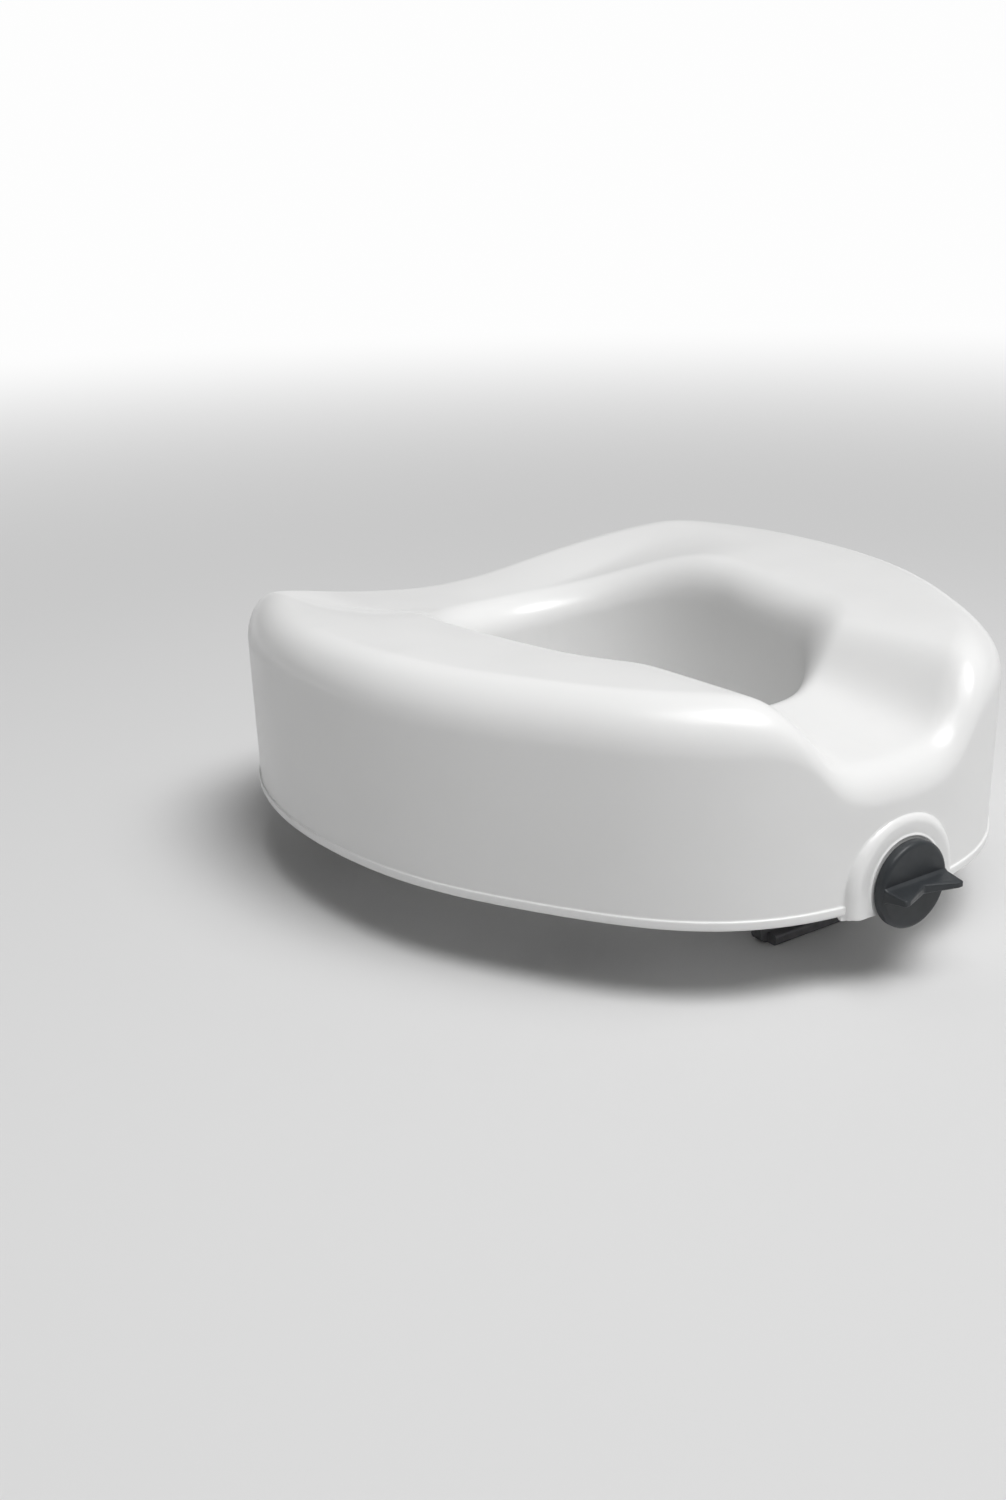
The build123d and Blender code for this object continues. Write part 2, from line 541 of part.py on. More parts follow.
with BuildPart() as hook_screws:
    for side in (-1, 1):
        for x in (-9.5, 9.5):
            add(hook_frame(side) * Pos(x, HOOK_SEAT_R + HOOK_T + 1.0, -9) * Rot(90, 0, 0) * Cylinder(3.4, 2.0, mode=Mode.PRIVATE))
            add(hook_frame(side) * Pos(x, HOOK_SEAT_R, -9) * Rot(90, 0, 0) * Cylinder(1.75, 2 * HOOK_T, mode=Mode.PRIVATE))
            add(hook_frame(side) * Pos(x, HOOK_SEAT_R + HOOK_T + 2, -9) * Box(4.2, 1.6, 0.9, mode=Mode.PRIVATE), mode=Mode.SUBTRACT)
            add(hook_frame(side) * Pos(x, HOOK_SEAT_R + HOOK_T + 2, -9) * Box(0.9, 1.6, 4.2, mode=Mode.PRIVATE), mode=Mode.SUBTRACT)
finish(hook_screws, "hook_screws")

# ---------------------------------------------------------------- plug of the moulding's vent hole
with BuildPart() as vent_plug:
    with BuildSketch(Plane.XY.offset(BODY_BOTTOM - 1.6)):
        with Locations((0, PLUG_Y)):
            Circle(9.0)
    extrude(amount=1.6)
    fillet(vent_plug.edges().filter_by(GeomType.CIRCLE).sort_by(Axis.Z)[0], 1.0)
    with BuildSketch(Plane.XY.offset(BODY_BOTTOM)):
        with Locations((0, PLUG_Y)):
            Circle(PLUG_R)
    extrude(amount=WALL + 1.5)
    chamfer(vent_plug.edges().filter_by(GeomType.CIRCLE).sort_by(Axis.Z)[-1], 1.0)
finish(vent_plug, "vent_plug")
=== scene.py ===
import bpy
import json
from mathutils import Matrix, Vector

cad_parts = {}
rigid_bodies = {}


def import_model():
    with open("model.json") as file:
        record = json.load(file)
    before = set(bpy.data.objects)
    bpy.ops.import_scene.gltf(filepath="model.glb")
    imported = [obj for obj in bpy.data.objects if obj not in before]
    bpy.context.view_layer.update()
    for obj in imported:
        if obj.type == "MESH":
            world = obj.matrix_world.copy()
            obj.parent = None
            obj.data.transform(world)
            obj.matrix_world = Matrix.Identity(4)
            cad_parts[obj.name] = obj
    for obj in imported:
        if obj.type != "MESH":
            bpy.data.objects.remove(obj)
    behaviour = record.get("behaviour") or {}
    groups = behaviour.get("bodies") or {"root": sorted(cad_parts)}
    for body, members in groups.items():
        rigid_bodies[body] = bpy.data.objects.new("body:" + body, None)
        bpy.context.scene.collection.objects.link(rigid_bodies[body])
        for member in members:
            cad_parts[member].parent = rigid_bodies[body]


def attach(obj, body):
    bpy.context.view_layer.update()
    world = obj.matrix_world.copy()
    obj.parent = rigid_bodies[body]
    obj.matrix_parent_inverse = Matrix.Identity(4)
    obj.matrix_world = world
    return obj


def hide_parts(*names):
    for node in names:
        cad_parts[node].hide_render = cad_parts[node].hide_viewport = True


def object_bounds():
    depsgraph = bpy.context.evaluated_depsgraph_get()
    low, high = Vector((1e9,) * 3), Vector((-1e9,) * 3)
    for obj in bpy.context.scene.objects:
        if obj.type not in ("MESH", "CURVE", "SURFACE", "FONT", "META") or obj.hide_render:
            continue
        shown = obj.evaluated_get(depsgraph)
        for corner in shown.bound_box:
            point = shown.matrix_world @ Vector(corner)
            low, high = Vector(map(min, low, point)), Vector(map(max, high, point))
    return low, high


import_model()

import math

import bmesh
import bpy
import json
import numpy as np
from mathutils import Matrix, Vector

CAD_BOX = [list(map(float, p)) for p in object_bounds()]
MM = 0.001

# ------------------------------------------------------------------ the seat's surface, in mm (same numbers as the CAD part)
RISE, BOTTOM, BEAD_OUT, DRAFT = 127.0, 4.0, 1.3, 0.02
SKIRT_BOTTOM, SKIRT_T = -20.0, 8.0
OUTLINE = [226.0, 225.3, 208.8, 202.1, 208.1, 225.4, 249.6, 252.0, 236.1]
EGG_REAR_Y, EGG_REAR_R, EGG_FRONT_Y, EGG_FRONT_R = 45.0, 95.0, -28.0, 82.0
SCOOP_HALF_W, SCOOP_SOFT, SCOOP_OUT, SCOOP_IN = 54.0, 8.5, 46.5, 38.0
DIP_HALF_W, DIP_DEPTH = 165.0, 34.0
AXIS_Z, BOSS_R, BOSS_FACE_Y, BOSS_BOTTOM = 15.5, 38.5, -228.4, 1.0
KNOB_R, KNOB_BACK_Y, KNOB_FACE_Y = 24.6, -229.0, -235.6
HOOK_ANGLE, HOOK_SEAT_R = 27.0, 101.4


def cosine_series(v):
    n = len(v) - 1
    out = []
    for k in range(n + 1):
        s = 0.5 * (v[0] + (-1) ** k * v[n]) + sum(v[j] * math.cos(math.pi * k * j / n) for j in range(1, n))
        out.append((2.0 if 0 < k < n else 1.0) * s / n)
    return out


SERIES = cosine_series(OUTLINE)


def r_outer(phi):
    return sum(c * np.cos(k * phi) for k, c in enumerate(SERIES))


def r_inner(phi):
    dx, dy = np.sin(phi), -np.cos(phi)
    best = np.zeros_like(phi)
    for i in range(401):
        s = i / 400
        cy, rr = EGG_FRONT_Y + s * (EGG_REAR_Y - EGG_FRONT_Y), EGG_FRONT_R + s * (EGG_REAR_R - EGG_FRONT_R)
        b = dy * cy
        disc = b * b - (cy * cy - rr * rr)
        best = np.maximum(best, np.where(disc >= 0, b + np.sqrt(np.maximum(disc, 0)), 0))
    return best


def smooth(x, a, b):
    t = np.clip((x - a) / (b - a), 0, 1)
    return t * t * (3 - 2 * t)


def scoop(x, y):
    return smooth(-y, 30, 95) / (1 + np.exp((np.abs(x) - SCOOP_HALF_W) / SCOOP_SOFT))


def dip(x, y):
    g = 1 - (np.abs(x) / DIP_HALF_W) ** 2
    g = 0.5 * (g + np.sqrt(g * g + 0.004))
    return g * smooth(y, 50, 160)


def top_z(x, y, across):
    depth = SCOOP_IN + (SCOOP_OUT - SCOOP_IN) * np.clip((-110 - y) / 116, 0, 1)
    w, d = scoop(x, y), dip(x, y)
    return RISE - 5 * across ** 2 * (1 - w) * (1 - 0.6 * d) - depth * w - DIP_DEPTH * d


def body_grid(phi):
    """Closed section rows for every column angle: arrays r, z of shape rows x columns."""
    ro, ri = r_outer(phi), r_inner(phi)
    one = np.ones_like(phi)
    wall = lambda z: ro - BEAD_OUT + DRAFT * (z - BOTTOM)
    inner = lambda z: ri + 0.03 * np.maximum(z, 0)
    w0, i0 = wall(90.0), inner(80.0)
    sx, sy = np.sin(phi), -np.cos(phi)
    oR = 28.0 - 9.0 * scoop(w0 * sx, w0 * sy) - 5.0 * dip(w0 * sx, w0 * sy)
    iR = 27.0 - 12.0 * scoop(i0 * sx, i0 * sy) - 4.0 * dip(i0 * sx, i0 * sy)

    def surf(r):
        return top_z(r * sx, r * sy, np.clip((w0 - r) / (w0 - i0), 0, 1))

    rows = []

    def put(r, z):
        rows.append((r * one, z * one))

    # flat underside, from the skirt out to the edge
    put(ri + SKIRT_T + 1.2, BOTTOM)
    for s in np.linspace(0.06, 1, 16):
        put(ri + SKIRT_T + 1.2 + (ro - 3.2 - ri - SKIRT_T - 1.2) * s, BOTTOM)
    # rounded lower edge and the parting bead
    for a in np.linspace(15, 90, 6):
        t = math.radians(a)
        put(ro - 2.0 + 2.0 * math.sin(t) - 0.0, BOTTOM + 2.0 - 2.0 * math.cos(t))
    put(ro, BOTTOM + 3.2)
    put(ro, BOTTOM + 4.4)
    for a in np.linspace(15, 90, 6):
        t = math.radians(a)
        put(ro - 0.9 + 0.9 * math.cos(t), BOTTOM + 4.8 + 0.9 * math.sin(t))
    zc = BOTTOM + 6.4
    w = ro - BEAD_OUT
    put(w + 0.18, zc - 0.35)
    put(w + 0.06, zc + 0.1)
    # wall up to the shoulder
    z0 = zc + 0.7
    z1 = surf(w0 - oR) - oR
    z_sh = surf(w0) - oR
    for s in np.linspace(0, 1, 44):
        z = z0 + (z_sh - z0) * s
        put(ro - BEAD_OUT + DRAFT * (z - BOTTOM) + (w0 - wall(z_sh)) * smooth(s, 0.5, 1.0), z)
    # shoulder
    for a in np.linspace(90, 0, 27)[1:]:
        t = math.radians(a)
        r = w0 - oR + oR * math.sin(t)
        put(r, surf(r) - oR * (1 - math.cos(t)))
    # seating surface
    a_, b_ = w0 - oR, i0 + iR
    for s in np.linspace(0, 1, 34)[1:-1]:
        r = a_ + (b_ - a_) * s
        put(r, surf(r))
    # roll into the opening
    for g in np.linspace(0, 90, 27):
        t = math.radians(g)
        r = i0 + iR - iR * math.sin(t)
        put(r, surf(r) - iR * (1 - math.cos(t)))
    zt = surf(i0) - iR
    for s in np.linspace(0, 1, 34)[1:]:
        z = zt + (SKIRT_BOTTOM + 4.2 - zt) * s
        put(inner(z) + (i0 - inner(zt)) * (1 - smooth(s, 0, 0.5)), z)
    # rounded lower end of the skirt, then its outside up to the underside
    for a in np.linspace(10, 180, 14):
        t = math.radians(a)
        put(ri + SKIRT_T / 2 - SKIRT_T / 2 * math.cos(t), SKIRT_BOTTOM + 4 - 4 * math.sin(t))
    for z in np.linspace(SKIRT_BOTTOM + 6, BOTTOM - 1.6, 9):
        put(ri + SKIRT_T, z)
    put(ri + SKIRT_T + 0.15, BOTTOM - 0.75)
    put(ri + SKIRT_T + 0.5, BOTTOM - 0.25)
    return np.array([r for r, _ in rows]), np.array([z for _, z in rows])


def mesh_object(name, verts, faces, smooth_faces=True):
    me = bpy.data.meshes.new(name)
    me.from_pydata([tuple(v) for v in verts], [], faces)
    me.update()
    ob = bpy.data.objects.new(name, me)
    bpy.context.scene.collection.objects.link(ob)
    if smooth_faces:
        me.polygons.foreach_set("use_smooth", [True] * len(me.polygons))
    return ob


def torus_faces(n_rows, n_cols, flip=False):
    out = []
    for i in range(n_rows):
        a, b = i * n_cols, ((i + 1) % n_rows) * n_cols
        for j in range(n_cols):
            k = (j + 1) % n_cols
            q = (a + j, a + k, b + k, b + j)
            out.append(q[::-1] if flip else q)
    return out


def recalc(ob):
    bm = bmesh.new()
    bm.from_mesh(ob.data)
    bmesh.ops.recalc_face_normals(bm, faces=bm.faces)
    bm.to_mesh(ob.data)
    bm.free()


def sharp_by_angle(ob, degrees=35):
    ob.data.set_sharp_from_angle(angle=math.radians(degrees))


# column angles: finer at the front, where the scoop and the arch are
fine = np.radians(np.arange(-36, 36, 0.5))
rest = np.radians(np.arange(36, 324, 1.0))
PHI = np.concatenate([fine, rest])
R, Z = body_grid(PHI)
X, Y = R * np.sin(PHI), -R * np.cos(PHI)
# the slow unevenness that a blow moulding has as it shrinks on cooling
wob = (0.16 * np.sin(X / 31.0 + 1.3) * np.sin(Y / 27.0 + 0.4) + 0.10 * np.sin(X / 17.0 - Z / 21.0 + 2.1) * np.sin(Y / 19.0 + Z / 33.0)) * smooth(Z, 14, 40)
out = np.where(R > r_inner(PHI)[None, :] + 40, 1.0, 0.0)
Xw, Yw, Zw = X - np.sin(PHI) * np.abs(wob) * 0.7 * out, Y + np.cos(PHI) * np.abs(wob) * 0.7 * out, Z - np.abs(wob) * 0.8
V = np.stack([Xw, Yw, Zw], -1).reshape(-1, 3) * MM
body = mesh_object("seat_shell", V, torus_faces(R.shape[0], len(PHI)))
recalc(body)


def cutter(name, make):
    bm = bmesh.new()
    make(bm)
    me = bpy.data.meshes.new(name)
    bm.to_mesh(me)
    bm.free()
    ob = bpy.data.objects.new(name, me)
    bpy.context.scene.collection.objects.link(ob)
    return ob


def cut(target, tool, op="DIFFERENCE"):
    m = target.modifiers.new("cut", "BOOLEAN")
    m.operation, m.object, m.solver = op, tool, "EXACT"
    bpy.context.view_layer.objects.active = target
    bpy.context.view_layer.update()
    dg = bpy.context.evaluated_depsgraph_get()
    me = bpy.data.meshes.new_from_object(target.evaluated_get(dg))
    target.modifiers.clear()
    old = target.data
    target.data = me
    bpy.data.meshes.remove(old)
    bpy.data.objects.remove(tool, do_unlink=True)


def cyl_y(x, z, y0, y1, r, seg=96):
    def make(bm):
        m = Matrix.Translation(Vector((x, (y0 + y1) / 2, z)) * MM) @ Matrix.Rotation(math.radians(90), 4, "X")
        bmesh.ops.create_cone(bm, cap_ends=True, segments=seg, radius1=r * MM, radius2=r * MM, depth=(y1 - y0) * MM, matrix=m)
    return make


def bay_box(bm):
    bmesh.ops.create_cube(bm, size=1.0, matrix=Matrix.Translation(Vector((0, -166, 12.75)) * MM) @ Matrix.Diagonal((46 * MM, 88 * MM, 35.5 * MM, 1)))
    top = [e for e in bm.edges if all(v.co.z > 0.02 for v in e.verts)]
    bmesh.ops.bevel(bm, geom=top, offset=3 * MM, segments=5, affect="EDGES", profile=0.5)


cut(body, cutter("c1", bay_box))
cut(body, cutter("c2", cyl_y(0, AXIS_Z, -245, -220, 15.5)))
cut(body, cutter("c3", cyl_y(0, AXIS_Z, -221, -208, 9.0)))
cut(body, cutter("c4", cyl_y(0, AXIS_Z, -123, -114, 5.1, 48)))
for side in (-1, 1):
    def seat_cut(bm, side=side):
        m = Matrix.Translation(Vector((0, EGG_REAR_Y, 0)) * MM) @ Matrix.Rotation(-side * math.radians(HOOK_ANGLE), 4, "Z") \
            @ Matrix.Translation(Vector((0, HOOK_SEAT_R + 6, -12.5)) * MM) @ Matrix.Diagonal((34 * MM, 12 * MM, 25 * MM, 1))
        bmesh.ops.create_cube(bm, size=1.0, matrix=m)
    cut(body, cutter("c5", seat_cut))
body.data.polygons.foreach_set("use_smooth", [True] * len(body.data.polygons))
sharp_by_angle(body, 40)
body.name = "seat_shell"

# ------------------------------------------------------------------ the arch round the knob, rolled into the wall
PHI_F = np.radians(np.linspace(-16, 16, 641))
WX = (r_outer(PHI_F) - BEAD_OUT) * np.sin(PHI_F)


def wall_y(x, z):
    p = np.interp(x, WX, PHI_F)
    return -(r_outer(p) - BEAD_OUT + DRAFT * (z - BOTTOM)) * np.cos(p)


def arch(n_arc=97, n_side=16, n_base=40):
    """Points of the arch's outline going round once, with outward directions; x across, z up."""
    pts, nrm = [], []
    for a in np.linspace(0, 180, n_arc):
        t = math.radians(a)
        pts.append((BOSS_R * math.cos(t), AXIS_Z + BOSS_R * math.sin(t)))
        nrm.append((math.cos(t), math.sin(t)))
    zs = np.linspace(AXIS_Z, BOSS_BOTTOM + 2.5, n_side)[1:]
    for z in zs:
        pts.append((-BOSS_R, z)); nrm.append((-1, 0))
    for a in np.linspace(180, 270, 9)[1:]:
        t = math.radians(a)
        pts.append((-BOSS_R + 2.5 + 2.5 * math.cos(t), BOSS_BOTTOM + 2.5 + 2.5 * math.sin(t))); nrm.append((math.cos(t), math.sin(t)))
    for x in np.linspace(-BOSS_R + 2.5, BOSS_R - 2.5, n_base)[1:-1]:
        pts.append((x, BOSS_BOTTOM)); nrm.append((0, -1))
    for a in np.linspace(270, 360, 9)[:-1]:
        t = math.radians(a)
        pts.append((BOSS_R - 2.5 + 2.5 * math.cos(t), BOSS_BOTTOM + 2.5 + 2.5 * math.sin(t))); nrm.append((math.cos(t), math.sin(t)))
    for z in zs[::-1]:
        pts.append((BOSS_R, z)); nrm.append((1, 0))
    return np.array(pts), np.array(nrm)


P, N = arch()
n = len(P)
centre = np.array([0.0, AXIS_Z])
ang = np.arctan2(P[:, 1] - AXIS_Z, P[:, 0])


def circle_ring(r):
    """A ring of n points at radius r round the knob's axis, at the arch outline's angles."""
    q = np.stack([r * np.cos(ang), AXIS_Z + r * np.sin(ang)], -1)
    return q


rings = []


def ring(q, y):
    rings.append(np.stack([q[:, 0], y * np.ones(n), q[:, 1]], -1))


def inset(d):
    """Outline moved inwards by d, and never below the boss's own bottom."""
    q = P - N * d
    low = P[:, 1] < AXIS_Z
    q[low, 0] = P[low, 0] * (BOSS_R - d) / BOSS_R
    q[low, 1] = P[low, 1] - N[low, 1] * min(d, 0.9)
    return q


y_f = BOSS_FACE_Y
ring(circle_ring(9.0), -211.0)
ring(circle_ring(9.0), -219.9)
ring(circle_ring(9.1), -220.0)
ring(circle_ring(15.4), -220.0)
ring(circle_ring(15.5), -220.1)
for y in (-222, -224, -226, -227.5):
    ring(circle_ring(15.5), y)
for a in np.linspace(0, 90, 5):
    t = math.radians(a)
    ring(circle_ring(16.2 - 0.7 * math.cos(t)), y_f + 0.7 - 0.7 * math.sin(t))


EDGE = 5.6


def blend_ring(s, y):
    """Between a circle of 17 mm and the outline set in by the edge radius."""
    a, b = circle_ring(17.0), inset(EDGE)
    ring(a + (b - a) * s, y)


# flat face with the thin raised ring round the knob
for s in np.linspace(0, 1, 44):
    a, b = circle_ring(17.0), inset(EDGE)
    q = a + (b - a) * s
    rr = np.hypot(q[:, 0], q[:, 1] - AXIS_Z)
    lift = 0.7 * np.exp(-((rr - 26.1) / 0.75) ** 2)
    rings.append(np.stack([q[:, 0], y_f - lift, q[:, 1]], -1))
# rounded edge, side and the concave run-out on to the wall
for a in np.linspace(8, 90, 14):
    t = math.radians(a)
    q = inset(EDGE - EDGE * math.sin(t))
    rr = np.hypot(q[:, 0], q[:, 1] - AXIS_Z)
    lift = 0.7 * np.exp(-((rr - 26.1) / 0.75) ** 2)
    y = y_f + EDGE - EDGE * math.cos(t) - lift
    yw = wall_y(q[:, 0], q[:, 1])
    y = np.where(np.isfinite(yw), np.minimum(y, yw - 0.35), y)
    rings.append(np.stack([q[:, 0], y, q[:, 1]], -1))
last = rings[-1].copy()
FLARE = 1.8
for a in np.linspace(0, 90, 12)[1:]:
    t = math.radians(a)
    d = FLARE - FLARE * math.cos(t)
    q = P + N * d
    q[:, 1] = np.maximum(q[:, 1], BOSS_BOTTOM)
    yw = wall_y(q[:, 0], q[:, 1])
    y = last[:, 1] + (yw + 0.12 - last[:, 1]) * math.sin(t)
    rings.append(np.stack([q[:, 0], y, q[:, 1]], -1))
q = P + N * FLARE
q[:, 1] = np.maximum(q[:, 1], BOSS_BOTTOM)
rings.append(np.stack([q[:, 0], wall_y(q[:, 0], q[:, 1]) + 2.0, q[:, 1]], -1))
q = inset(1.0)
rings.append(np.stack([q[:, 0], np.full(n, -214.0), q[:, 1]], -1))
rings.append(np.stack([circle_ring(12.0)[:, 0], np.full(n, -211.0), circle_ring(12.0)[:, 1]], -1))
BV = np.concatenate(rings) * MM
boss = mesh_object("seat_boss", BV, torus_faces(len(rings), n))
recalc(boss)
sharp_by_angle(boss, 50)

for ob in (body, boss):
    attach(ob, "seat")
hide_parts("seat_body")

# ------------------------------------------------------------------ the knob: turned disc, wing with waisted flanks, moulded edges
seg = 160
prof = [(6.02, -224.3), (11.6, -224.3), (12.0, -224.7), (12.0, KNOB_BACK_Y + 0.4), (12.4, KNOB_BACK_Y)]
prof += [(r, KNOB_BACK_Y) for r in (15, 18, 21, KNOB_R - 1.4)]
prof += [(KNOB_R - 1.2 + 1.2 * math.sin(math.radians(a)), KNOB_BACK_Y - 1.2 + 1.2 * math.cos(math.radians(a))) for a in (20, 40, 60, 80, 90)]
prof += [(KNOB_R, KNOB_BACK_Y - 2.6), (KNOB_R, KNOB_FACE_Y + 3.0)]
prof += [(KNOB_R - 2.6 + 2.6 * math.cos(math.radians(a)), KNOB_FACE_Y + 2.6 - 2.6 * math.sin(math.radians(a))) for a in range(0, 91, 9)]
prof += [(r, KNOB_FACE_Y + 0.25 * (1 - (r / 22) ** 2)) for r in (21, 19, 17, 15, 12, 9, 6, 3)]
kv, kf = [], []
for r, y in prof:
    for j in range(seg):
        t = 2 * math.pi * j / seg
        kv.append((r * math.cos(t) * MM, y * MM, (AXIS_Z + r * math.sin(t)) * MM))
m = len(prof)
for i in range(m - 1):
    for j in range(seg):
        k = (j + 1) % seg
        kf.append((i * seg + j, i * seg + k, (i + 1) * seg + k, (i + 1) * seg + j))
kv.append((0, (KNOB_FACE_Y + 0.25) * MM, AXIS_Z * MM))
top_c = len(kv) - 1
for j in range(seg):
    kf.append(((m - 1) * seg + j, (m - 1) * seg + (j + 1) % seg, top_c))
kv.append((0, -234.0 * MM, AXIS_Z * MM))
bot_c = len(kv) - 1
ring0 = len(kv)
for j in range(seg):
    t = 2 * math.pi * j / seg
    kv.append((6.02 * math.cos(t) * MM, -234.0 * MM, (AXIS_Z + 6.02 * math.sin(t)) * MM))
for j in range(seg):
    k = (j + 1) % seg
    kf.append((ring0 + j, ring0 + k, k, j))
    kf.append((ring0 + k, ring0 + j, bot_c))
disc = mesh_object("knob_disc", kv, kf)
recalc(disc)

# wing: outline in plan with two blunt horns and a straight-sided V between them, tapering towards the tips
TIP, NOTCH, TX, ROOT_T, TIP_T = -249.5, -242.0, 20.2, 6.8, 3.4


def rounded(poly, radii, steps=8):
    """An open polyline with its inner corners rounded."""
    out = [np.array(poly[0], float)]
    for i in range(1, len(poly) - 1):
        p, a_, b_ = (np.array(q, float) for q in (poly[i], poly[i - 1], poly[i + 1]))
        u, v = (a_ - p) / np.linalg.norm(a_ - p), (b_ - p) / np.linalg.norm(b_ - p)
        half = math.acos(max(-1, min(1, float(u @ v)))) / 2
        reach = radii[i] / math.tan(half)
        cen = p + (u + v) / np.linalg.norm(u + v) * radii[i] / math.sin(half)
        s0, s1 = p + u * reach, p + v * reach
        a0 = math.atan2(*(s0 - cen)[::-1])
        a1 = math.atan2(*(s1 - cen)[::-1])
        da = (a1 - a0 + math.pi) % (2 * math.pi) - math.pi
        out += [cen + radii[i] * np.array([math.cos(a0 + da * k / steps), math.sin(a0 + da * k / steps)]) for k in range(steps + 1)]
    out.append(np.array(poly[-1], float))
    return np.array(out)


poly = [(23.6, KNOB_FACE_Y + 2.5), (TX + 1.6, TIP), (TX - 1.6, TIP), (0, NOTCH), (-TX + 1.6, TIP), (-TX - 1.6, TIP), (-23.6, KNOB_FACE_Y + 2.5)]
base = rounded(poly, [0, 1.3, 1.8, 2.6, 1.8, 1.3, 0])
# resample evenly so that the side faces are regular
seg_len = np.r_[0, np.cumsum(np.linalg.norm(np.diff(base, axis=0), axis=1))]
t_ = np.linspace(0, seg_len[-1], 181)
pts = np.stack([np.interp(t_, seg_len, base[:, 0]), np.interp(t_, seg_len, base[:, 1])], -1)
d = np.gradient(pts, axis=0)
nn = np.stack([-d[:, 1], d[:, 0]], -1)
nn /= np.linalg.norm(nn, axis=1)[:, None]
if nn[len(nn) // 2][1] < 0:
    nn = -nn


def half_t(y):
    """Half the blade's thickness at y, flared into the disc at its foot."""
    s = np.clip((KNOB_FACE_Y - y) / (KNOB_FACE_Y - TIP), -0.3, 1)
    foot = np.clip(1 - (KNOB_FACE_Y - y) / 2.4, 0, 1.6)
    return 0.5 * (ROOT_T + (TIP_T - ROOT_T) * s) + 0.9 * foot ** 2


RND = 1.35
LAY = [(-1.0, 1.0), (-0.985, 0.62), (-0.92, 0.30), (-0.80, 0.09), (-0.62, 0.0), (-0.3, 0.0), (0.3, 0.0), (0.62, 0.0), (0.80, 0.09), (0.92, 0.30), (0.985, 0.62), (1.0, 1.0)]
wv, wf = [], []
c = len(pts)
for f_, ins in LAY:
    for (x, y), (nx, ny) in zip(pts, nn):
        px, py = x + nx * ins * RND, y + ny * ins * RND
        wv.append((px, py, AXIS_Z + f_ * half_t(y)))
L = len(LAY)
for i in range(L - 1):
    for j in range(c - 1):
        wf.append((i * c + j, i * c + j + 1, (i + 1) * c + j + 1, (i + 1) * c + j))
ROWS = 18
for top in (False, True):
    base_i = (L - 1) * c if top else 0
    sign = 1.0 if top else -1.0
    prev = list(range(base_i, base_i + c))
    for r_ in range(1, ROWS + 1):
        s = (r_ / ROWS) ** 0.9
        cur = []
        for j in range(c):
            x, y = wv[base_i + j][0], wv[base_i + j][1]
            y2 = y + (KNOB_FACE_Y + 2.0 - y) * s
            dish = 0.28 * math.sin(math.pi * min(1.0, r_ / ROWS)) * (1 - min(1.0, abs(x) / 25.0) ** 2)
            wv.append((x, y2, AXIS_Z + sign * (float(half_t(y2)) - dish)))
            cur.append(len(wv) - 1)
        for j in range(c - 1):
            wf.append((prev[j], prev[j + 1], cur[j + 1], cur[j]))
        prev = cur
    if top:
        top_last = prev
    else:
        bot_last = prev
for j in range(c - 1):
    wf.append((bot_last[j], bot_last[j + 1], top_last[j + 1], top_last[j]))
wing = mesh_object("knob_wing", [(x * MM, y * MM, z * MM) for x, y, z in wv], wf)
bm = bmesh.new()
bm.from_mesh(wing.data)
bmesh.ops.remove_doubles(bm, verts=bm.verts, dist=0.00001)
holes = [e for e in bm.edges if e.is_boundary]
bmesh.ops.holes_fill(bm, edges=holes, sides=0)
bmesh.ops.recalc_face_normals(bm, faces=bm.faces)
bm.to_mesh(wing.data)
bm.free()
wing.data.polygons.foreach_set("use_smooth", [True] * len(wing.data.polygons))
sharp_by_angle(disc, 38)
sharp_by_angle(wing, 38)
for ob in (disc, wing):
    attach(ob, "lock_screw")
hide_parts("lock_knob")


